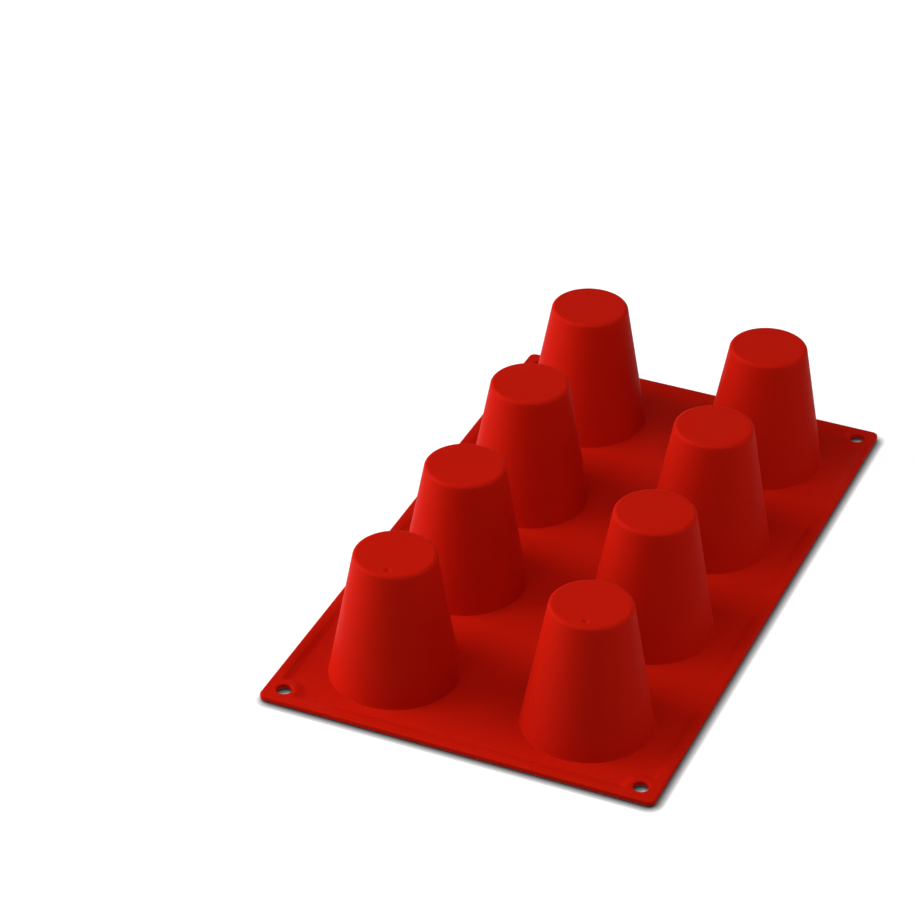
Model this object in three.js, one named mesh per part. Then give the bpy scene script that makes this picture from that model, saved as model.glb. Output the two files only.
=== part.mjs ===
// Baba mould: a flexible silicone mat with eight tapered cups, lying face down with its cups standing up.
//
// Millimetres, +Z up. The origin is the centre of the mat's flat food face, which lies on the table.
// X runs along the mat and Y across it. Columns 1 to 4 follow +X. Row a is at +Y and row b at -Y.
//
// The real mould is one moulding. It is divided here where it bends: four stiff columns of two cups,
// three webs that flex between them, and the closed end of each cup, which is pressed in to free a cake.
import * as THREE from "three";

// Cups
const COLUMNS = 4;
const MOUTH_DIAMETER = 54; // cavity at the food face, before its edge is rounded
const FLOOR_DIAMETER = 33.2; // cavity at its floor
const CAVITY_DEPTH = 59.3;
const WALL = 1.1; // cup wall, measured level
const BASE_THICKNESS = 1.7; // closed end of a cup
const BASE_ROUNDING = 1.8; // outer edge of the closed end
const SHOULDER_LAND = 0.6; // flat ring between that rounding and the part that is pressed in
const LIP_RADIUS = 1.2; // rounding of the cavity's mouth
const FOOT_FILLET = 0.6; // between the cup's outside and the sheet
const COLLAR_WIDTH = 2.4; // ring of sheet moulded with the cup, outside its wall

// Mat, built up from strips between the cups' collars
const SHEET = 1.4; // thickness of the mat
const WEB_WIDTH = 10; // strip that bends between two columns
const PANEL_LAND = 1; // sheet between a collar and a web
const ROW_STRIP = 25.6; // sheet between the two rows
const END_STRIP = 3.4; // sheet between the outermost collars and the end rims
const SIDE_STRIP = 7.1; // sheet between the collars and the side rims
const RIM_WIDTH = 6.6;
const RIM_THICKNESS = 2.6; // the edge is thicker than the sheet, on the cups' side
const RIM_SLOPE = 2.6; // run of the rim's inner face as it drops to the sheet
const CORNER_RADIUS = 3;

// Eyelets, the thick corners with a hole to hang the mould by
const EYELET_HOLE = 6.6;
const EYELET_INSET = 8.3; // hole centre from both edges of the mat
const EYELET_RADIUS = 8; // thick boss round the hole

// Fits and facets
const CLEARANCE = 0.3; // between pieces that meet on a round face
const ROUND_SIDES = 32; // facets round a cup
const ARC_STEPS = 1; // pairs of facets on a small rounding

const ROWS = { a: 1, b: -1 };
const mouthRadius = MOUTH_DIAMETER / 2;
const floorRadius = FLOOR_DIAMETER / 2;
const cupHeight = CAVITY_DEPTH + BASE_THICKNESS;
const taper = (mouthRadius - floorRadius) / CAVITY_DEPTH; // inward run per millimetre of rise
const slant = Math.hypot(1, taper);
const footRadius = mouthRadius + WALL; // outside of the cup, run on to the food face
const collarRadius = footRadius + COLLAR_WIDTH;
const pitchAlong = 2 * (collarRadius + PANEL_LAND) + WEB_WIDTH;
const pitchAcross = 2 * collarRadius + ROW_STRIP;
const rimInnerX = ((COLUMNS - 1) / 2) * pitchAlong + collarRadius + END_STRIP;
const rimInnerY = pitchAcross / 2 + collarRadius + SIDE_STRIP;
const matHalfX = rimInnerX + RIM_WIDTH;
const matHalfY = rimInnerY + RIM_WIDTH;
const panelHalf = collarRadius + PANEL_LAND; // from a column's centre line to its web
const eyeletReach = EYELET_INSET + EYELET_RADIUS;
const shoulderRadius = footRadius - taper * (cupHeight - BASE_ROUNDING) - BASE_ROUNDING * slant;
const seatRadius = shoulderRadius - SHOULDER_LAND;

const columnX = (k) => (k - (COLUMNS + 1) / 2) * pitchAlong;
const isEnd = (k) => k === 1 || k === COLUMNS;

const silicone = new THREE.MeshStandardMaterial({ color: 0xbe1a0e, roughness: 0.5, metalness: 0 });
const piece = (name, geometry) => {
  const mesh = new THREE.Mesh(geometry, silicone.clone());
  mesh.name = name;
  return mesh;
};

// A profile of radius and height, turned about the Z axis.
const turned = (path) =>
  new THREE.LatheGeometry(path.getPoints(ARC_STEPS), ROUND_SIDES).rotateX(Math.PI / 2);

// Wall of a cup with its collar and shoulder. The closed end sits in the ring at the top.
function cupWall() {
  const lean = Math.atan(taper);
  const filletZ = SHEET + FOOT_FILLET;
  const filletRadius = footRadius - taper * filletZ + FOOT_FILLET * slant;
  const lipCentre = mouthRadius - taper * LIP_RADIUS + LIP_RADIUS * slant;
  const path = new THREE.Path();
  path.moveTo(collarRadius, 0);
  path.lineTo(collarRadius, SHEET);
  path.absarc(filletRadius, filletZ, FOOT_FILLET, -Math.PI / 2, lean - Math.PI, true);
  path.absarc(shoulderRadius, cupHeight - BASE_ROUNDING, BASE_ROUNDING, lean, Math.PI / 2, false);
  path.lineTo(seatRadius, cupHeight);
  path.lineTo(seatRadius, CAVITY_DEPTH);
  path.lineTo(floorRadius, CAVITY_DEPTH);
  path.absarc(lipCentre, LIP_RADIUS, LIP_RADIUS, Math.PI + lean, 1.5 * Math.PI, false);
  path.lineTo(collarRadius, 0);
  return turned(path);
}

// Closed end of a cup, the disc that a thumb presses in.
function cupBase() {
  const radius = seatRadius - CLEARANCE;
  const path = new THREE.Path();
  path.moveTo(0, CAVITY_DEPTH);
  path.lineTo(radius, CAVITY_DEPTH);
  path.lineTo(radius, cupHeight);
  path.lineTo(0, cupHeight);
  return turned(path);
}

// Openings for the two cups of a column. The facets' flats keep the clearance, not their corners.
function cutCupOpenings(shape) {
  const radius = (collarRadius + CLEARANCE) / Math.cos(Math.PI / ROUND_SIDES);
  for (const side of Object.values(ROWS)) {
    const opening = new THREE.Path();
    opening.absarc(0, (side * pitchAcross) / 2, radius, 0, 2 * Math.PI, true);
    shape.holes.push(opening);
  }
}

const flat = (shape, thickness) =>
  new THREE.ExtrudeGeometry(shape, {
    depth: thickness,
    bevelEnabled: false,
    curveSegments: ROUND_SIDES / 2,
  });

// A section drawn across the mat, with its height as Y, run along X.
function runAlongX(section, length) {
  const acrossY = new THREE.Vector3(0, 1, 0);
  const upZ = new THREE.Vector3(0, 0, 1);
  const alongX = new THREE.Vector3(1, 0, 0);
  return flat(section, length).applyMatrix4(new THREE.Matrix4().makeBasis(acrossY, upZ, alongX));
}

// Sheet of a middle column, from web to web.
function middlePanel() {
  const shape = new THREE.Shape();
  shape.moveTo(-panelHalf, -rimInnerY);
  shape.lineTo(panelHalf, -rimInnerY);
  shape.lineTo(panelHalf, rimInnerY);
  shape.lineTo(-panelHalf, rimInnerY);
  cutCupOpenings(shape);
  return flat(shape, SHEET);
}

// Sheet of an end column, with its end at -X and its corners cut round the two eyelets.
function endPanel() {
  const radius = EYELET_RADIUS + CLEARANCE;
  const endX = -(collarRadius + END_STRIP);
  const eyeletX = endX - RIM_WIDTH + EYELET_INSET;
  const eyeletY = matHalfY - EYELET_INSET;
  const overX = Math.sqrt(radius ** 2 - (rimInnerY - eyeletY) ** 2);
  const overY = Math.sqrt(radius ** 2 - (endX - eyeletX) ** 2);
  const along = Math.atan2(rimInnerY - eyeletY, overX);
  const across = Math.atan2(-overY, endX - eyeletX);
  const shape = new THREE.Shape();
  shape.moveTo(panelHalf, -rimInnerY);
  shape.lineTo(panelHalf, rimInnerY);
  shape.absarc(eyeletX, eyeletY, radius, along, across, true);
  shape.absarc(eyeletX, -eyeletY, radius, -across, -along, true);
  cutCupOpenings(shape);
  return flat(shape, SHEET);
}

// Strip that bends between two columns, with the rims that run through it, drawn across the mat.
function flexWeb() {
  const shape = new THREE.Shape();
  shape.moveTo(-matHalfY, 0);
  shape.lineTo(matHalfY, 0);
  shape.lineTo(matHalfY, RIM_THICKNESS);
  shape.lineTo(rimInnerY + RIM_SLOPE, RIM_THICKNESS);
  shape.lineTo(rimInnerY, SHEET);
  shape.lineTo(-rimInnerY, SHEET);
  shape.lineTo(-rimInnerY - RIM_SLOPE, RIM_THICKNESS);
  shape.lineTo(-matHalfY, RIM_THICKNESS);
  return runAlongX(shape, WEB_WIDTH);
}

// A straight stretch of rim. It runs from the origin along +X and the mat lies towards +Y.
function rimBar(length) {
  const shape = new THREE.Shape();
  shape.moveTo(0, 0);
  shape.lineTo(RIM_WIDTH, 0);
  shape.lineTo(RIM_WIDTH, SHEET);
  shape.lineTo(RIM_WIDTH - RIM_SLOPE, RIM_THICKNESS);
  shape.lineTo(0, RIM_THICKNESS);
  return runAlongX(shape, length);
}

// Thick corner with its hanging hole. The corner is at the origin and the mat lies towards +X and +Y.
function eyelet() {
  const over = Math.sqrt(EYELET_RADIUS ** 2 - (RIM_WIDTH - EYELET_INSET) ** 2);
  const start = Math.atan2(RIM_WIDTH - EYELET_INSET, over);
  const shape = new THREE.Shape();
  shape.moveTo(0, eyeletReach);
  shape.lineTo(0, CORNER_RADIUS);
  shape.absarc(CORNER_RADIUS, CORNER_RADIUS, CORNER_RADIUS, Math.PI, 1.5 * Math.PI, false);
  shape.lineTo(eyeletReach, 0);
  shape.lineTo(eyeletReach, RIM_WIDTH);
  shape.absarc(EYELET_INSET, EYELET_INSET, EYELET_RADIUS, start, Math.PI / 2 - start, false);
  shape.lineTo(RIM_WIDTH, eyeletReach);
  const hole = new THREE.Path();
  hole.absarc(EYELET_INSET, EYELET_INSET, EYELET_HOLE / 2, 0, 2 * Math.PI, true);
  shape.holes.push(hole);
  return flat(shape, RIM_THICKNESS);
}

// One column: its sheet, two cups and stretches of rim, with the end rim and eyelets on an end column.
function column(k) {
  const group = new THREE.Group();
  group.position.x = columnX(k);
  // An end column is drawn with its end at -X, and the last one is turned half round.
  const turn = k === COLUMNS ? -1 : 1;
  const panel = piece(`mat_panel_${k}`, isEnd(k) ? endPanel() : middlePanel());
  panel.rotation.z = turn < 0 ? Math.PI : 0;
  group.add(panel);

  const endX = -(collarRadius + END_STRIP + RIM_WIDTH);
  const rimStart = isEnd(k) ? endX + eyeletReach : -panelHalf;
  const rimX = [turn * rimStart, turn * panelHalf].sort((p, q) => p - q);
  for (const [row, side] of Object.entries(ROWS)) {
    for (const [part, geometry] of [["wall", cupWall()], ["base", cupBase()]]) {
      const mesh = piece(`cup_${part}_${k}${row}`, geometry);
      mesh.position.y = (side * pitchAcross) / 2;
      group.add(mesh);
    }
    const sideRim = piece(`side_rim_${k}${row}`, rimBar(rimX[1] - rimX[0]));
    sideRim.position.set(side < 0 ? rimX[0] : rimX[1], side * matHalfY, 0);
    sideRim.rotation.z = side < 0 ? 0 : Math.PI;
    group.add(sideRim);
  }
  if (isEnd(k)) {
    const rimSpan = matHalfY - eyeletReach;
    const endRim = piece(`end_rim_${k}`, rimBar(2 * rimSpan));
    endRim.position.set(turn * endX, turn * rimSpan, 0);
    endRim.rotation.z = (-turn * Math.PI) / 2;
    group.add(endRim);
  }
  return group;
}

const mould = new THREE.Group();
for (let k = 1; k <= COLUMNS; k += 1) mould.add(column(k));

for (let k = 1; k < COLUMNS; k += 1) {
  const web = piece(`flex_web_${k}_${k + 1}`, flexWeb());
  web.position.x = columnX(k) + panelHalf;
  mould.add(web);
}

const corners = [
  [`eyelet_1b`, -1, -1],
  [`eyelet_${COLUMNS}b`, 1, -1],
  [`eyelet_${COLUMNS}a`, 1, 1],
  [`eyelet_1a`, -1, 1],
];
corners.forEach(([name, sideX, sideY], quarterTurns) => {
  const corner = piece(name, eyelet());
  corner.position.set(sideX * matHalfX, sideY * matHalfY, 0);
  corner.rotation.z = (quarterTurns * Math.PI) / 2;
  mould.add(corner);
});

export default mould;
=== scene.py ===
# Dresses the baba mould: a flexible red silicone mat with eight tapered cups, lying face down, cups up.
import math
from itertools import product

import bmesh
import bpy
from bpy.props import FloatProperty, FloatVectorProperty, PointerProperty
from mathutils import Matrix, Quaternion, Vector
from mathutils.geometry import delaunay_2d_cdt


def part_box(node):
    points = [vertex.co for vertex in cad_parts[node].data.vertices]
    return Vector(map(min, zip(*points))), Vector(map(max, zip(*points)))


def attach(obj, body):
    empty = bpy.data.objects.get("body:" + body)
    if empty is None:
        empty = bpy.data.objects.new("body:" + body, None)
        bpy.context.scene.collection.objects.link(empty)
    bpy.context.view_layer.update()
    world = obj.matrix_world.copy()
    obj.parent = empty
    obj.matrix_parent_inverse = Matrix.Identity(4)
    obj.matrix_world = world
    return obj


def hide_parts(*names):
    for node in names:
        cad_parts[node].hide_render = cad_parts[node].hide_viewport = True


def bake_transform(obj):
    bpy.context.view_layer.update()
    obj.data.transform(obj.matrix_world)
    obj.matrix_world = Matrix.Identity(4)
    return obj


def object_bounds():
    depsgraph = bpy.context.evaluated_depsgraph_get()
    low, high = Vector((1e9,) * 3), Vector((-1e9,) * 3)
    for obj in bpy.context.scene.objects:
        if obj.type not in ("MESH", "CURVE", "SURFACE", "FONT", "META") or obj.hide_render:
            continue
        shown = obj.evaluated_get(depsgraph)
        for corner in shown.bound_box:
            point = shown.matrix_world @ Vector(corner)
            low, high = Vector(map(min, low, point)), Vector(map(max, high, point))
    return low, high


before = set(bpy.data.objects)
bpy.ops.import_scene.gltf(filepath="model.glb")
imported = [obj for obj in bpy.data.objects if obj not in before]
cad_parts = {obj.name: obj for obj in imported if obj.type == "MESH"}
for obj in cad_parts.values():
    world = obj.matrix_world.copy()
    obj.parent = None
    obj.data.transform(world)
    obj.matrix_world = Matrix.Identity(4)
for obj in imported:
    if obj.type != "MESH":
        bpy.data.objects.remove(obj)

bl_info = {
    "name": "Baba mould",
    "version": (1, 0, 0),
    "blender": (4, 5, 0),
    "location": "View3D > Sidebar > Baba mould",
    "description": "Makes the skin of a flexible silicone baba mould round its packed frame",
    "category": "Mesh",
}

CAD_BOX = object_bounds()
MM = 0.001

# What the frame gives
COLUMNS = (1, 2, 3, 4)
ROWS = ("a", "b")
CUPS = [(column, row) for column in COLUMNS for row in ROWS]
WEBS = list(zip(COLUMNS, COLUMNS[1:]))
MAT_HALF = CAD_BOX[1].xy
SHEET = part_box("mat_panel_2")[1].z
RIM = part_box("side_rim_2a")[1].z
CUP_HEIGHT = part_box("cup_base_1a")[1].z
CAVITY_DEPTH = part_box("cup_base_1a")[0].z
WALL_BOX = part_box("cup_wall_1a")
COLLAR_RADIUS = (WALL_BOX[1].x - WALL_BOX[0].x) / 2

# Smoothness of the made meshes
CUP_SIDES = 160
HOLE_SIDES = 72
ARC_STEPS = 6
FILLET_STEPS = 10
SLOPE_STEPS = 10
WEB_STEPS = 20
SHARP_ANGLE = math.radians(40)
# Set-back of the second loop along an edge, which keeps the edge's shading off the face beside it
HOLDING = 0.3 * MM
# Points nearer than this are one point
WELD = 0.001 * MM
MERGE = 5 * WELD


def length(name, description, millimetres):
    return FloatProperty(
        name=name,
        description=description,
        default=millimetres * MM,
        unit="LENGTH",
        subtype="DISTANCE",
        precision=5,
    )


def share(name, description, value):
    return FloatProperty(name=name, description=description, default=value, min=0, max=1, subtype="FACTOR")


def turn(name, description, degrees):
    return FloatProperty(name=name, description=description, default=math.radians(degrees), subtype="ANGLE")


def power(name, description, watts):
    return FloatProperty(name=name, description=description, default=watts, min=0, unit="POWER")


def colour(name, description, red, green, blue):
    return FloatVectorProperty(
        name=name, description=description, default=(red, green, blue), min=0, max=1, subtype="COLOR"
    )


class CupSettings(bpy.types.PropertyGroup):
    mouth_radius: length("Mouth radius", "Cavity at the food face, before its edge is rounded", 27)
    floor_radius: length("Floor radius", "Cavity at its floor", 16.6)
    wall: length("Wall", "Thickness of the wall, measured level", 1.1)
    base_rounding: length("Base rounding", "Outer edge of the closed end", 1.8)
    foot_fillet: length("Foot fillet", "Between the cup's outside and the sheet", 0.25)
    lip_radius: length("Lip radius", "Rounding of the cavity's mouth", 1.2)
    floor_fillet: length("Floor fillet", "Inside, between the cavity's wall and its floor", 2.0)
    ring_step: length("Ring step", "Widest spacing of the rings of faces on the wall", 1.5)
    disc_step: length("Disc step", "Widest spacing of the rings of faces on the closed end", 0.35)
    press_start: length("Press start", "Height at which the wall gives when its end is pressed in", 26)
    mark_radius: length("Gate mark radius", "Small pit that the filling gate leaves on a closed end", 1.7)
    mark_depth: length("Gate mark depth", "Depth of that pit", 1.2)
    mark_along: length("Gate mark along", "From the cup's centre, along the mat", -12.4)
    mark_across: length("Gate mark across", "From the cup's centre, across the mat", -2.2)


class MatSettings(bpy.types.PropertyGroup):
    corner_radius: length("Corner radius", "Corners of the mat, in plan", 3)
    edge_rounding: length("Edge rounding", "Upper edge of the rim and of the holes", 0.6)
    under_rounding: length("Under rounding", "Lower edge of the rim and of the holes", 0.8)
    rim_flat: length("Rim flat", "Width of the rim's level top", 4.0)
    rim_foot: length("Rim foot", "From the mat's edge to where the rim has sloped down to the sheet", 7.4)
    hole_radius: length("Hole radius", "Hanging hole", 3.3)
    hole_inset: length("Hole inset", "Hole centre from both edges of the mat", 8.3)
    boss_flat: length("Boss flat", "Radius of the level top of the boss round a hole", 5.5)
    boss_foot: length("Boss foot", "Radius at which the boss has sloped down to the sheet", 9.2)
    slope_hollow: FloatProperty(
        name="Slope hollow",
        description="1 makes these slopes straight, and more makes them hollow",
        default=1.4,
        min=1,
    )
    corner_zone: length("Corner zone", "Side of the square at each corner that has a fine surface", 20)
    corner_step: length("Corner step", "Spacing of the points in that square", 0.5)


class SiliconeSettings(bpy.types.PropertyGroup):
    tint: colour("Colour", "Pigmented silicone", 0.53, 0.0085, 0.0022)
    deep_tint: colour("Deep colour", "Where the pigment is denser", 0.48, 0.0076, 0.002)
    roughness: share("Roughness", "Satin finish from the sanded tool", 0.5)
    roughness_spread: share("Roughness spread", "How much the finish varies from place to place", 0.05)
    reflection: share("Reflection", "Specular level of the surface", 0.014)
    cloud_size: length("Cloud size", "Patches of denser pigment", 35)
    wave_size: length("Wave size", "Soft waves in the surface", 9)
    wave_height: length("Wave height", "Height of those waves", 0.03)
    grain_size: length("Grain size", "Fine grain of the satin finish", 0.5)
    grain_height: length("Grain height", "Height of that grain", 0.012)


class StageSettings(bpy.types.PropertyGroup):
    view_azimuth: turn("View azimuth", "Camera round the mould, from -Y towards +X", -67.107)
    view_elevation: turn("View elevation", "Camera above the horizon", 33.003)
    view_roll: turn("View roll", "Camera about its own line of sight", 0.761)
    view_distance: length("View distance", "Camera from the point it looks at", 1516.9)
    view_target: FloatVectorProperty(
        name="View target",
        description="Point that the camera looks at",
        default=(17.953 * MM, 70.096 * MM, 25.336 * MM),
        subtype="XYZ",
        unit="LENGTH",
    )
    lens: FloatProperty(name="Lens", description="Focal length", default=133.54, unit="CAMERA")
    floor_colour: colour("Floor colour", "Pale table under the mould", 0.5, 0.5, 0.5)
    floor_glow: share("Floor glow", "Light added to the floor near the mould, as the camera sees it", 0.72)
    glow_start: length("Glow start", "Distance from which the floor's glow rises to white", 200)
    glow_end: length("Glow end", "Distance at which the floor is white", 600)
    contact_reach: length("Contact reach", "How far from the mould the floor shows its contact shadow", 4)
    contact_depth: FloatProperty(
        name="Contact depth",
        description="How fast that shadow darkens towards the mould",
        default=2.8,
        min=0,
    )
    contact_azimuth: turn("Contact azimuth", "Where the light comes from that the contact shadow lacks", 138)
    contact_elevation: turn("Contact elevation", "That light above the horizon", 45)
    ambient: share("Ambient", "Light from all round", 0.06)
    lamp_distance: length("Lamp distance", "Lamps from the middle of the mould", 1300)
    key_power: power("Key power", "Large lamp low on the left", 19.2)
    left_power: power("Left power", "Lamp high on the left", 5.25)
    right_power: power("Right power", "Lamp high on the right", 5.4)
    fill_power: power("Fill power", "Weak lamp low on the right", 3.1)
    under_power: power("Under power", "Lamp under the table, for a look at the food face from below", 12)


class NodeMaker:
    """Adds nodes to a tree, sets them up and links what they are given."""

    SPACING = 190
    PER_ROW = 12

    def __init__(self, tree):
        self.tree = tree
        tree.nodes.clear()

    def add(self, kind, inputs=None, **setup):
        node = self.tree.nodes.new(kind)
        made = len(self.tree.nodes) - 1
        node.location = (made % self.PER_ROW * self.SPACING, -(made // self.PER_ROW) * self.SPACING)
        for name, value in setup.items():
            setattr(node, name, value)
        for key, value in (inputs or {}).items():
            self.fill(node.inputs[key], value)
        return node

    def fill(self, socket, value):
        if isinstance(value, bpy.types.Node):
            value = value.outputs[0]
        if isinstance(value, bpy.types.NodeSocket):
            self.tree.links.new(value, socket)
        else:
            socket.default_value = value

    def math(self, operation, *values):
        return self.add("ShaderNodeMath", dict(enumerate(values)), operation=operation)

    def whole(self, operation, *values):
        return self.add("FunctionNodeIntegerMath", dict(enumerate(values)), operation=operation)

    def mix(self, data_type, factor, first, second):
        """The first value at factor 0, the second at 1."""
        node = self.add("ShaderNodeMix", data_type=data_type)
        sockets = [socket for socket in node.inputs if socket.enabled]
        for socket, value in zip(sockets, (factor, first, second)):
            self.fill(socket, value)
        return next(socket for socket in node.outputs if socket.enabled)

    def pick(self, data_type, index, values):
        """One of the values, by index."""
        node = self.add("GeometryNodeIndexSwitch", {"Index": index}, data_type=data_type)
        while len(node.index_switch_items) < len(values):
            node.index_switch_items.new()
        for place, value in enumerate(values, start=1):
            self.fill(node.inputs[place], value)
        return node


# Silicone


CLOUD_DETAIL = 3
FINE_DETAIL = 2


def silicone_material(settings):
    """Satin red silicone: clouded pigment, a varied sheen, soft waves and a fine grain."""
    material = bpy.data.materials.new("Red silicone")
    material.use_nodes = True
    maker = NodeMaker(material.node_tree)
    place = maker.add("ShaderNodeTexCoord").outputs["Object"]

    def noise(size, detail):
        inputs = {"Vector": place, "Scale": 1 / size, "Detail": detail}
        return maker.add("ShaderNodeTexNoise", inputs).outputs["Fac"]

    clouds = noise(settings.cloud_size, CLOUD_DETAIL)
    waves = noise(settings.wave_size, FINE_DETAIL)
    grain = noise(settings.grain_size, FINE_DETAIL)
    tint = maker.mix("RGBA", clouds, (*settings.tint, 1), (*settings.deep_tint, 1))
    finish = maker.add(
        "ShaderNodeMapRange",
        {
            "Value": waves,
            "To Min": settings.roughness - settings.roughness_spread,
            "To Max": settings.roughness + settings.roughness_spread,
        },
    )
    wavy = maker.add("ShaderNodeBump", {"Strength": 1, "Distance": settings.wave_height, "Height": waves})
    grainy = maker.add(
        "ShaderNodeBump", {"Strength": 1, "Distance": settings.grain_height, "Height": grain, "Normal": wavy}
    )
    surface = maker.add(
        "ShaderNodeBsdfPrincipled",
        {
            "Base Color": tint,
            "Roughness": finish,
            "Specular IOR Level": settings.reflection,
            "Normal": grainy,
        },
    )
    maker.add("ShaderNodeOutputMaterial", {"Surface": surface})
    return material


def silicone(context):
    found = bpy.data.materials.get("Red silicone")
    return found or silicone_material(context.scene.baba_silicone)


def finish_piece(name, mesh):
    """Links a finished mesh to the scene as a named piece of silicone."""
    mesh.name = name
    mesh.shade_smooth()
    mesh.set_sharp_from_angle(angle=SHARP_ANGLE)
    piece = bpy.data.objects.new(name, mesh)
    bpy.context.scene.collection.objects.link(piece)
    return piece


# Mat


def web_edges():
    return [(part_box(f"flex_web_{k}_{n}")[0].x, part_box(f"flex_web_{k}_{n}")[1].x) for k, n in WEBS]


def web_lines():
    """Lines across the mat along which a web can bend."""
    return [low + (high - low) * i / WEB_STEPS for low, high in web_edges() for i in range(WEB_STEPS + 1)]


def cup_centre(column, row):
    low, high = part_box(f"cup_wall_{column}{row}")
    return (low.xy + high.xy) / 2


def circle(centre, radius, sides):
    angles = [2 * math.pi * i / sides for i in range(sides)]
    return [centre + radius * Vector((math.cos(a), math.sin(a))) for a in angles]


def hollow_fall(value, start, end, hollow):
    """1 up to start, 0 from end on, and between them a fall that is steepest at its start."""
    return min(1, max(0, (end - value) / (end - start))) ** hollow


class MatPlan:
    """The mat seen from above: its outline, its holes and the height of its upper face."""

    def __init__(self, settings):
        self.settings = settings
        inset = Vector((settings.hole_inset, settings.hole_inset))
        reach = MAT_HALF - inset
        self.holes = [Vector((x * reach.x, y * reach.y)) for x in (-1, 1) for y in (-1, 1)]
        self.cups = [cup_centre(column, row) for column, row in CUPS]

    def outline(self, inset):
        """Points of the outline, moved in by inset, with one where each web line ends."""
        radius = self.settings.corner_radius
        points = []
        for quarter, (x, y) in enumerate([(1, 1), (-1, 1), (-1, -1), (1, -1)]):
            centre = Vector((x * (MAT_HALF.x - radius), y * (MAT_HALF.y - radius)))
            for step in range(ARC_STEPS + 1):
                angle = (quarter + step / ARC_STEPS) * math.pi / 2
                points.append(centre + (radius - inset) * Vector((math.cos(angle), math.sin(angle))))
            if x == y:
                ends = sorted(web_lines(), reverse=y > 0)
                points += [Vector((along, y * (MAT_HALF.y - inset))) for along in ends]
        return points

    def edge_distance(self, point):
        radius = self.settings.corner_radius
        over = Vector((abs(point.x) - MAT_HALF.x + radius, abs(point.y) - MAT_HALF.y + radius))
        if min(over) > 0:
            return radius - over.length
        return radius - max(over)

    def height(self, point):
        """Upper face: the rim and the bosses round the holes slope down to the sheet."""
        settings = self.settings
        hollow = settings.slope_hollow
        rim = hollow_fall(self.edge_distance(point), settings.rim_flat, settings.rim_foot, hollow)
        gap = min((point - hole).length for hole in self.holes)
        boss = hollow_fall(gap, settings.boss_flat, settings.boss_foot, hollow)
        return SHEET + (RIM - SHEET) * (1 - (1 - rim) * (1 - boss))

    def inside(self, point, edge, hole_radius):
        inner_circle = COLLAR_RADIUS * math.cos(math.pi / CUP_SIDES)
        hole_circle = hole_radius * math.cos(math.pi / HOLE_SIDES)
        return (
            self.edge_distance(point) > edge + WELD
            and all((point - cup).length > inner_circle for cup in self.cups)
            and all((point - hole).length > hole_circle for hole in self.holes)
        )

    def slope_lines(self):
        """Pairs of points: lines along the rim's slopes between the corner zones, and round the bosses."""
        settings = self.settings
        lines = []
        for step in range(SLOPE_STEPS + 1):
            inset = settings.rim_flat + (settings.rim_foot - settings.rim_flat) * step / SLOPE_STEPS
            x, y = MAT_HALF.x - inset, MAT_HALF.y - inset
            far_x, far_y = MAT_HALF.x - settings.corner_zone, MAT_HALF.y - settings.corner_zone
            for side in (-1, 1):
                lines.append((Vector((-far_x, side * y)), Vector((far_x, side * y))))
                lines.append((Vector((side * x, -far_y)), Vector((side * x, far_y))))
        for hole in self.holes:
            ring = circle(hole, settings.boss_flat, HOLE_SIDES)
            lines += zip(ring, ring[1:] + ring[:1])
        return lines

    def corner_points(self):
        """Points that carry the fine surface of the four corners."""
        settings = self.settings
        count = round(settings.corner_zone / settings.corner_step)
        edge = settings.edge_rounding + HOLDING + settings.corner_step / 2
        hole_radius = settings.hole_radius + edge
        points = []
        for x, y, i, j in product((-1, 1), (-1, 1), range(count), range(count)):
            step = settings.corner_step * Vector((i + 0.5, j + 0.5))
            point = Vector((x * (MAT_HALF.x - step.x), y * (MAT_HALF.y - step.y)))
            if self.inside(point, edge, hole_radius):
                points.append(point)
        return points

    def face(self, edge, lines, points):
        """Triangles of the upper or lower face, whose loops are set back by edge from the mat's own."""
        hole_radius = self.settings.hole_radius + edge
        coordinates, edges = list(points), []
        loops = [self.outline(edge), self.outline(edge + HOLDING)]
        for hole in self.holes:
            loops += [circle(hole, radius, HOLE_SIDES) for radius in (hole_radius, hole_radius + HOLDING)]
        loops += [circle(cup, COLLAR_RADIUS, CUP_SIDES) for cup in self.cups]
        for loop in loops:
            first = len(coordinates)
            coordinates += loop
            edges += [(first + i, first + (i + 1) % len(loop)) for i in range(len(loop))]
        across = MAT_HALF.y - edge
        lines = lines + [(Vector((x, -across)), Vector((x, across))) for x in web_lines()]
        for line in lines:
            edges.append((len(coordinates), len(coordinates) + 1))
            coordinates += line
        found, _, triangles, *_ = delaunay_2d_cdt(coordinates, edges, [], 0, WELD)
        middles = [sum((found[i] for i in triangle), Vector((0, 0))) / 3 for triangle in triangles]
        kept = [t for t, middle in zip(triangles, middles) if self.inside(middle, edge, hole_radius)]
        return found, kept


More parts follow.
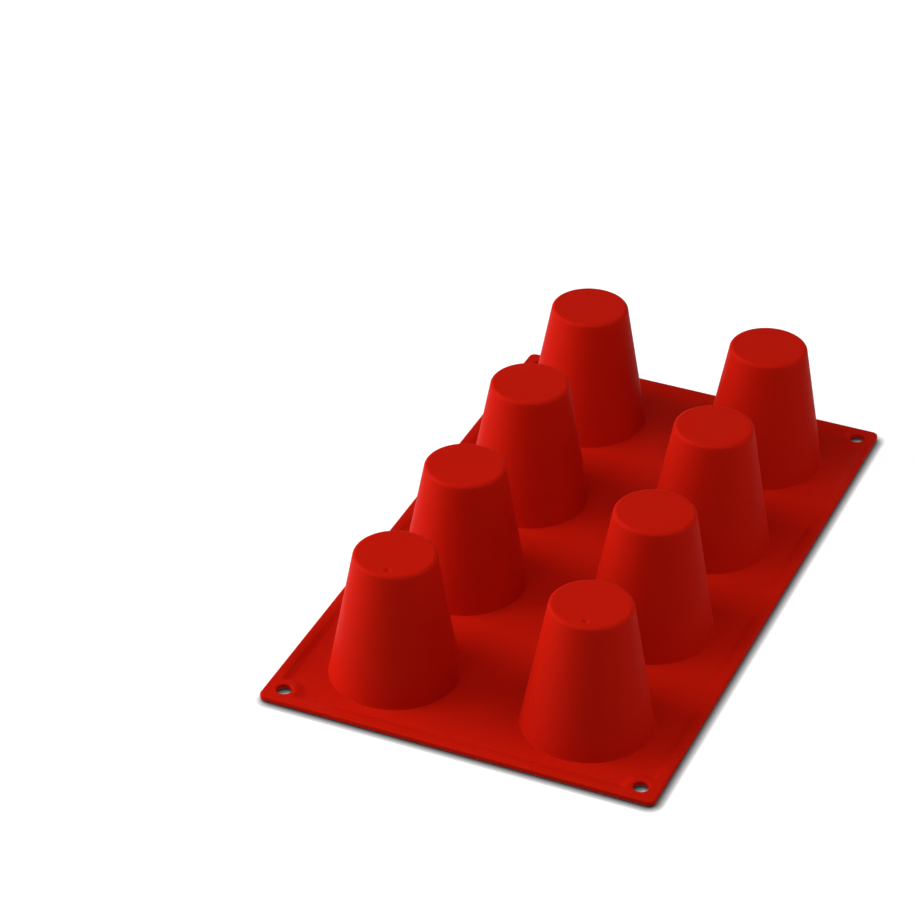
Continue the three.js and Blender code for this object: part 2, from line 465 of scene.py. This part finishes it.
def whole_mat(settings):
    """The whole mat as one closed mesh, with round openings where the cups' collars fit."""
    plan = MatPlan(settings)
    mat = bmesh.new()

    def add_face(edge, lines, points, height):
        found, triangles = plan.face(edge, lines, points)
        corners = [mat.verts.new((p.x, p.y, height(p))) for p in found]
        for triangle in triangles:
            mat.faces.new([corners[i] for i in triangle])

    def add_wall(loops):
        """Faces between closed loops of the same number of points, each (points, height)."""
        rings = [[mat.verts.new((p.x, p.y, z)) for p in points] for points, z in loops]
        for upper, lower in zip(rings, rings[1:]):
            for i in range(len(upper)):
                j = (i + 1) % len(upper)
                mat.faces.new((upper[i], upper[j], lower[j], lower[i]))

    add_face(settings.edge_rounding, plan.slope_lines(), plan.corner_points(), plan.height)
    add_face(settings.under_rounding, [], [], lambda point: 0)
    turns = [i / ARC_STEPS * math.pi / 2 for i in range(ARC_STEPS + 1)]
    edge, under = settings.edge_rounding, settings.under_rounding
    profile = [(edge * (1 - math.sin(t)), RIM - edge * (1 - math.cos(t))) for t in turns]
    profile += [(under * (1 - math.cos(t)), under * (1 - math.sin(t))) for t in turns]
    add_wall([(plan.outline(inset), z) for inset, z in profile])
    for hole in plan.holes:
        add_wall([(circle(hole, settings.hole_radius + inset, HOLE_SIDES), z) for inset, z in profile])
    for cup in plan.cups:
        opening = circle(cup, COLLAR_RADIUS, CUP_SIDES)
        add_wall([(opening, SHEET), (opening, 0)])
    bmesh.ops.remove_doubles(mat, verts=mat.verts, dist=MERGE)
    bmesh.ops.delete(mat, geom=[v for v in mat.verts if not v.link_faces], context="VERTS")
    bmesh.ops.recalc_face_normals(mat, faces=mat.faces)
    return mat


def cut_piece(mat, low, high):
    """The stretch of the mat between two X values, closed where it is cut, as a mesh."""
    part = mat.copy()
    for x, side in ((low, -1), (high, 1)):
        bmesh.ops.bisect_plane(
            part,
            geom=[*part.verts, *part.edges, *part.faces],
            dist=WELD,
            plane_co=(x, 0, 0),
            plane_no=(side, 0, 0),
            clear_outer=True,
        )
        rim = [e for e in part.edges if len(e.link_faces) == 1]
        if rim:
            bmesh.ops.edgeloop_fill(part, edges=rim)
    bmesh.ops.recalc_face_normals(part, faces=part.faces)
    if any(len(e.link_faces) != 2 for e in part.edges):
        raise RuntimeError(f"the mat between {low} and {high} isn't closed")
    mesh = bpy.data.meshes.new("mat")
    part.to_mesh(mesh)
    part.free()
    return mesh


COLUMN_NODES = ("mat_panel_{}", "side_rim_{}a", "side_rim_{}b", "end_rim_{}", "eyelet_{}a", "eyelet_{}b")


class BABA_OT_columns(bpy.types.Operator):
    """Make the stiff stretches of the mat, each with its rims and, at the ends, its hanging holes"""

    bl_idname = "baba.columns"
    bl_label = "Make mat columns"

    def execute(self, context):
        mat = whole_mat(context.scene.baba_mat)
        edges = web_edges()
        past_the_ends = 2 * MAT_HALF.x
        lows = [-past_the_ends] + [high for low, high in edges]
        highs = [low for low, high in edges] + [past_the_ends]
        for column, low, high in zip(COLUMNS, lows, highs):
            mesh = cut_piece(mat, low, high)
            mesh.materials.append(silicone(context))
            piece = finish_piece(f"column_mat_{column}", mesh)
            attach(piece, f"column_{column}")
            nodes = [name.format(column) for name in COLUMN_NODES]
            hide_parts(*[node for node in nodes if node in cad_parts])
        mat.free()
        return {"FINISHED"}


class BABA_OT_webs(bpy.types.Operator):
    """Make the strips of mat that bend between two columns"""

    bl_idname = "baba.webs"
    bl_label = "Make flexing webs"

    def execute(self, context):
        mat = whole_mat(context.scene.baba_mat)
        for (first, second), (low, high) in zip(WEBS, web_edges()):
            mesh = cut_piece(mat, low, high)
            mesh.materials.append(silicone(context))
            piece = finish_piece(f"web_strip_{first}_{second}", mesh)
            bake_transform(piece)
            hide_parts(f"flex_web_{first}_{second}")
        mat.free()
        return {"FINISHED"}


# Cups


CUP_LENGTHS = (
    "Mouth Radius",
    "Floor Radius",
    "Depth",
    "Height",
    "Wall",
    "Collar Radius",
    "Sheet",
    "Base Rounding",
    "Foot Fillet",
    "Lip Radius",
    "Floor Fillet",
    "Ring Step",
    "Disc Step",
    "Mark Radius",
    "Mark Depth",
)
CUP_INPUTS = dict.fromkeys(CUP_LENGTHS, "NodeSocketFloat") | {
    "Mark Place": "NodeSocketVector",
    "Centre": "NodeSocketVector",
    "Material": "NodeSocketMaterial",
}
# Two indices are the same where they differ by less
INDEX_TOLERANCE = 0.5


def cup_outline(maker, given, index):
    """Curve from the axis over the closed end, down the outside, under the collar and up the cavity."""
    run = maker.math("SUBTRACT", given["Mouth Radius"], given["Floor Radius"])
    taper = maker.math("DIVIDE", run, given["Depth"])
    foot = maker.math("ADD", given["Mouth Radius"], given["Wall"])
    shoulder = maker.math("SUBTRACT", foot, maker.math("MULTIPLY", taper, given["Height"]))
    outer_foot = maker.math("SUBTRACT", foot, maker.math("MULTIPLY", taper, given["Sheet"]))
    corners = [
        (0, given["Height"], 0),
        (shoulder, given["Height"], given["Base Rounding"]),
        (outer_foot, given["Sheet"], given["Foot Fillet"]),
        (given["Collar Radius"], given["Sheet"], 0),
        (given["Collar Radius"], 0, 0),
        (given["Mouth Radius"], 0, given["Lip Radius"]),
        (given["Floor Radius"], given["Depth"], given["Floor Fillet"]),
        (0, given["Depth"], 0),
    ]
    points = [maker.add("ShaderNodeCombineXYZ", {"X": r, "Z": z}) for r, z, _ in corners]
    line = maker.add("GeometryNodeMeshLine", {"Count": len(corners)})
    corner = maker.pick("VECTOR", index, points)
    bent = maker.add("GeometryNodeSetPosition", {"Geometry": line, "Position": corner})
    curve = maker.add("GeometryNodeMeshToCurve", {"Mesh": bent})
    roundings = maker.pick("FLOAT", index, [rounding for _, _, rounding in corners])
    filleted = maker.add(
        "GeometryNodeFilletCurve", {"Curve": curve, "Radius": roundings, "Limit Radius": True}, mode="POLY"
    )
    filleted.inputs["Count"].default_value = FILLET_STEPS
    return filleted


def cup_rings(maker, given, outline, index, position):
    """The outline with points along its straight stretches, closer together on the closed end."""
    following = maker.add(
        "GeometryNodeFieldAtIndex", {"Index": maker.whole("ADD", index, 1)}, data_type="FLOAT_VECTOR"
    )
    maker.fill(following.inputs["Value"], position)
    stride = maker.add("ShaderNodeVectorMath", {0: position, 1: following}, operation="DISTANCE")
    on_disc = maker.math("COMPARE", index, 0, INDEX_TOLERANCE)
    step = maker.mix("FLOAT", on_disc, given["Ring Step"], given["Disc Step"])
    cuts = maker.math("FLOOR", maker.math("DIVIDE", stride.outputs["Value"], step))
    return maker.add("GeometryNodeSubdivideCurve", {"Curve": outline, "Cuts": cuts})


def turned(maker, profile, index, position):
    """The profile turned about the axis: each column of a grid is the profile at one angle."""
    counted = maker.add("GeometryNodeAttributeDomainSize", {"Geometry": profile}, component="CURVE")
    size = counted.outputs["Point Count"]
    grid = maker.add("GeometryNodeMeshGrid", {"Vertices X": CUP_SIDES + 1, "Vertices Y": size})
    side = maker.whole("DIVIDE_FLOOR", index, size)
    row = maker.whole("MODULO", index, size)
    sample = maker.add(
        "GeometryNodeSampleIndex", {"Geometry": profile, "Index": row}, data_type="FLOAT_VECTOR"
    )
    maker.fill(sample.inputs["Value"], position)
    on_profile = maker.add("ShaderNodeSeparateXYZ", {"Vector": sample}).outputs
    angle = maker.math("MULTIPLY", side, 2 * math.pi / CUP_SIDES)
    place = maker.add(
        "ShaderNodeCombineXYZ",
        {
            "X": maker.math("MULTIPLY", on_profile["X"], maker.math("COSINE", angle)),
            "Y": maker.math("MULTIPLY", on_profile["X"], maker.math("SINE", angle)),
            "Z": on_profile["Z"],
        },
    )
    wrapped = maker.add("GeometryNodeSetPosition", {"Geometry": grid, "Position": place})
    outward = maker.add("GeometryNodeFlipFaces", {"Mesh": wrapped})
    return maker.add("GeometryNodeMergeByDistance", {"Geometry": outward, "Distance": WELD})


def gate_marked(maker, given, cup, position):
    """The cup with a small dish in its closed end, where the filling gate was."""
    flat = maker.add("ShaderNodeVectorMath", {0: position, 1: (1, 1, 0)}, operation="MULTIPLY")
    reach = maker.add("ShaderNodeVectorMath", {0: flat, 1: given["Mark Place"]}, operation="DISTANCE")
    gap = reach.outputs["Value"]
    dish = maker.add(
        "ShaderNodeMapRange",
        {"Value": gap, "From Max": given["Mark Radius"], "To Min": given["Mark Depth"], "To Max": 0},
        interpolation_type="SMOOTHSTEP",
    )
    height = maker.add("ShaderNodeSeparateXYZ", {"Vector": position}).outputs["Z"]
    on_end = maker.math("COMPARE", height, given["Height"], WELD)
    sunk = maker.math("MULTIPLY", maker.math("MULTIPLY", dish, on_end), -1)
    sink = maker.add("ShaderNodeCombineXYZ", {"Z": sunk})
    return maker.add("GeometryNodeSetPosition", {"Geometry": cup, "Offset": sink})


def cup_tree():
    """Geometry Nodes that turn a cup's filleted outline about its axis."""
    tree = bpy.data.node_groups.new("Turned cup", "GeometryNodeTree")
    tree.is_modifier = True
    for name, kind in CUP_INPUTS.items():
        tree.interface.new_socket(name, in_out="INPUT", socket_type=kind)
    tree.interface.new_socket("Geometry", in_out="OUTPUT", socket_type="NodeSocketGeometry")
    maker = NodeMaker(tree)
    given = maker.add("NodeGroupInput").outputs
    index = maker.add("GeometryNodeInputIndex")
    position = maker.add("GeometryNodeInputPosition")
    outline = cup_outline(maker, given, index)
    profile = cup_rings(maker, given, outline, index, position)
    cup = turned(maker, profile, index, position)
    marked = gate_marked(maker, given, cup, position)
    placed = maker.add("GeometryNodeTransform", {"Geometry": marked, "Translation": given["Centre"]})
    real = maker.add("GeometryNodeRealizeInstances", {"Geometry": placed})
    finished = maker.add("GeometryNodeSetMaterial", {"Geometry": real, "Material": given["Material"]})
    maker.add("NodeGroupOutput", {"Geometry": finished})
    return tree


def baked(tree, values):
    """The plain mesh that a tree makes from the values of its named inputs."""
    holder = bpy.data.objects.new("maker", bpy.data.meshes.new("maker"))
    bpy.context.scene.collection.objects.link(holder)
    modifier = holder.modifiers.new(tree.name, "NODES")
    modifier.node_group = tree
    for socket in tree.interface.items_tree:
        if socket.in_out == "INPUT":
            modifier[socket.identifier] = values[socket.name]
    evaluated = holder.evaluated_get(bpy.context.evaluated_depsgraph_get())
    mesh = bpy.data.meshes.new_from_object(evaluated)
    holder.modifiers.remove(modifier)
    bpy.data.objects.remove(holder)
    return mesh


def enclosed_volume(mesh):
    shape = bmesh.new()
    shape.from_mesh(mesh)
    volume = shape.calc_volume(signed=True)
    shape.free()
    return volume


class BABA_OT_cups(bpy.types.Operator):
    """Make the eight cups, each with its collar, wall and closed end"""

    bl_idname = "baba.cups"
    bl_label = "Make cups"

    def execute(self, context):
        cup = context.scene.baba_cup
        tree = cup_tree()
        sizes = {
            "Mouth Radius": cup.mouth_radius,
            "Floor Radius": cup.floor_radius,
            "Depth": CAVITY_DEPTH,
            "Height": CUP_HEIGHT,
            "Wall": cup.wall,
            "Collar Radius": COLLAR_RADIUS,
            "Sheet": SHEET,
            "Base Rounding": cup.base_rounding,
            "Foot Fillet": cup.foot_fillet,
            "Lip Radius": cup.lip_radius,
            "Floor Fillet": cup.floor_fillet,
            "Ring Step": cup.ring_step,
            "Disc Step": cup.disc_step,
            "Mark Radius": cup.mark_radius,
            "Mark Place": (cup.mark_along, cup.mark_across, 0.0),
            "Material": silicone(context),
        }
        for column, row in CUPS:
            centre = cup_centre(column, row)
            marked = column == COLUMNS[0]
            place = {"Centre": (*centre, 0.0), "Mark Depth": cup.mark_depth if marked else 0.0}
            mesh = baked(tree, sizes | place)
            if enclosed_volume(mesh) <= 0:
                raise RuntimeError(f"cup {column}{row} is inside out or empty")
            piece = finish_piece(f"cup_{column}{row}", mesh)
            start, end = (*centre, cup.press_start), (*centre, CAVITY_DEPTH)
            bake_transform(piece)
            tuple(start)
            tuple(end)
            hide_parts(f"cup_wall_{column}{row}", f"cup_base_{column}{row}")
        return {"FINISHED"}


# Stage


FLOOR_DROP = 0.3 * MM
FLOOR_HALF = 6000 * MM
# Lamps: name, azimuth from the camera's and elevation in degrees, side in metres
LAMPS = (
    ("key", -96, 18, 1.0),
    ("left", -60, 60, 0.8),
    ("right", 60, 60, 0.8),
    ("fill", 70, 12, 0.9),
    ("under", 0, -90, 0.9),
)


def toward(azimuth, elevation):
    """Direction from the mould to something at that azimuth, from -Y towards +X, and elevation."""
    level = math.cos(elevation)
    return Vector((math.sin(azimuth) * level, -math.cos(azimuth) * level, math.sin(elevation)))


def make_camera(settings):
    back = toward(settings.view_azimuth, settings.view_elevation)
    data = bpy.data.cameras.new("Camera")
    data.lens = settings.lens
    camera = bpy.data.objects.new("Camera", data)
    camera.location = Vector(settings.view_target) + back * settings.view_distance
    aim = (-back).to_track_quat("-Z", "Y")
    camera.rotation_mode = "QUATERNION"
    camera.rotation_quaternion = aim @ Quaternion((0, 0, 1), settings.view_roll)
    bpy.context.scene.collection.objects.link(camera)
    bpy.context.scene.camera = camera


def make_lamp(name, settings, azimuth, elevation, size, watts):
    """Square soft lamp, at an azimuth measured from the camera's."""
    direction = toward(settings.view_azimuth + azimuth, elevation)
    data = bpy.data.lights.new(name, "AREA")
    data.size = size
    data.energy = watts
    lamp = bpy.data.objects.new(name, data)
    lamp.location = direction * settings.lamp_distance
    lamp.rotation_mode = "QUATERNION"
    lamp.rotation_quaternion = (-direction).to_track_quat("-Z", "Y")
    bpy.context.scene.collection.objects.link(lamp)


def seen_directly(maker):
    """1 for rays that show the background: from the camera, or off or through something shiny."""
    path = maker.add("ShaderNodeLightPath").outputs
    shiny = maker.math("MAXIMUM", path["Is Glossy Ray"], path["Is Transmission Ray"])
    return maker.math("MAXIMUM", path["Is Camera Ray"], shiny)


def make_world(settings):
    world = bpy.data.worlds.new("Studio")
    world.use_nodes = True
    maker = NodeMaker(world.node_tree)
    level = maker.mix("FLOAT", seen_directly(maker), settings.ambient, 1)
    background = maker.add("ShaderNodeBackground", {"Color": (1, 1, 1, 1), "Strength": level})
    maker.add("ShaderNodeOutputWorld", {"Surface": background})
    bpy.context.scene.world = world


def table_material(settings):
    """Pale table with a contact shadow, which fades to white away from the mould and is clear from below."""
    material = bpy.data.materials.new("Pale table")
    material.use_nodes = True
    maker = NodeMaker(material.node_tree)
    path = maker.add("ShaderNodeLightPath").outputs
    below = maker.add("ShaderNodeNewGeometry").outputs["Backfacing"]
    lean = toward(settings.contact_azimuth, settings.contact_elevation)
    light = maker.add("ShaderNodeCombineXYZ", {"X": lean.x, "Y": lean.y, "Z": lean.z})
    openness = maker.add("ShaderNodeAmbientOcclusion", {"Distance": settings.contact_reach, "Normal": light})
    contact = maker.math("POWER", openness.outputs["AO"], settings.contact_depth)
    shade = maker.add(
        "ShaderNodeVectorMath", {0: settings.floor_colour, "Scale": contact}, operation="SCALE"
    )
    matt = maker.add("ShaderNodeBsdfDiffuse", {"Color": shade})
    place = maker.add("ShaderNodeTexCoord").outputs["Object"]
    distance = maker.add("ShaderNodeVectorMath", {0: place}, operation="LENGTH").outputs["Value"]
    rise = maker.add(
        "ShaderNodeMapRange",
        {
            "Value": distance,
            "From Min": settings.glow_start,
            "From Max": settings.glow_end,
            "To Min": settings.floor_glow,
            "To Max": 1,
        },
        interpolation_type="SMOOTHSTEP",
    )
    strength = maker.math("MULTIPLY", seen_directly(maker), maker.math("MULTIPLY", rise, contact))
    glow = maker.add("ShaderNodeEmission", {"Strength": strength})
    solid = maker.add("ShaderNodeAddShader", {0: matt, 1: glow})
    clear = maker.add("ShaderNodeBsdfTransparent")
    from_below = maker.math("MULTIPLY", below, path["Is Camera Ray"])
    let_through = maker.math("MAXIMUM", from_below, path["Is Shadow Ray"])
    shown = maker.add("ShaderNodeMixShader", {0: let_through, 1: solid, 2: clear})
    maker.add("ShaderNodeOutputMaterial", {"Surface": shown})
    return material


def make_floor(settings):
    mesh = bpy.data.meshes.new("floor")
    signs = ((-1, -1), (1, -1), (1, 1), (-1, 1))
    corners = [(x * FLOOR_HALF, y * FLOOR_HALF, -FLOOR_DROP) for x, y in signs]
    mesh.from_pydata(corners, [], [range(len(corners))])
    mesh.materials.append(table_material(settings))
    floor = bpy.data.objects.new("floor", mesh)
    bpy.context.scene.collection.objects.link(floor)


class BABA_OT_stage(bpy.types.Operator):
    """Make the pale table, the soft lamps, the white background and the camera"""

    bl_idname = "baba.stage"
    bl_label = "Make stage"

    def execute(self, context):
        settings = context.scene.baba_stage
        make_camera(settings)
        make_floor(settings)
        make_world(settings)
        for name, azimuth, elevation, size in LAMPS:
            watts = getattr(settings, f"{name}_power")
            make_lamp(f"{name} lamp", settings, math.radians(azimuth), math.radians(elevation), size, watts)
        context.scene.view_settings.view_transform = "Standard"
        return {"FINISHED"}


class BABA_PT_panel(bpy.types.Panel):
    """Lists the steps that make the mould and the settings that they read"""

    bl_label = "Baba mould"
    bl_idname = "BABA_PT_panel"
    bl_space_type = "VIEW_3D"
    bl_region_type = "UI"
    bl_category = "Baba mould"

    def draw(self, context):
        for operator in OPERATORS:
            self.layout.operator(operator.bl_idname)
        for attribute in SETTINGS:
            settings = getattr(context.scene, attribute)
            box = self.layout.box()
            for name in settings.__annotations__:
                box.prop(settings, name)


OPERATORS = (BABA_OT_columns, BABA_OT_webs, BABA_OT_cups, BABA_OT_stage)
SETTINGS = {
    "baba_cup": CupSettings,
    "baba_mat": MatSettings,
    "baba_silicone": SiliconeSettings,
    "baba_stage": StageSettings,
}


def register():
    for made in (*SETTINGS.values(), *OPERATORS, BABA_PT_panel):
        bpy.utils.register_class(made)
    for attribute, group in SETTINGS.items():
        setattr(bpy.types.Scene, attribute, PointerProperty(type=group))


def unregister():
    for attribute in SETTINGS:
        delattr(bpy.types.Scene, attribute)
    for made in (BABA_PT_panel, *reversed(OPERATORS), *reversed(SETTINGS.values())):
        bpy.utils.unregister_class(made)


def main():
    register()
    bpy.ops.baba.columns()
    bpy.ops.baba.webs()
    bpy.ops.baba.cups()
    bpy.ops.baba.stage()


if __name__ == "__main__":
    main()
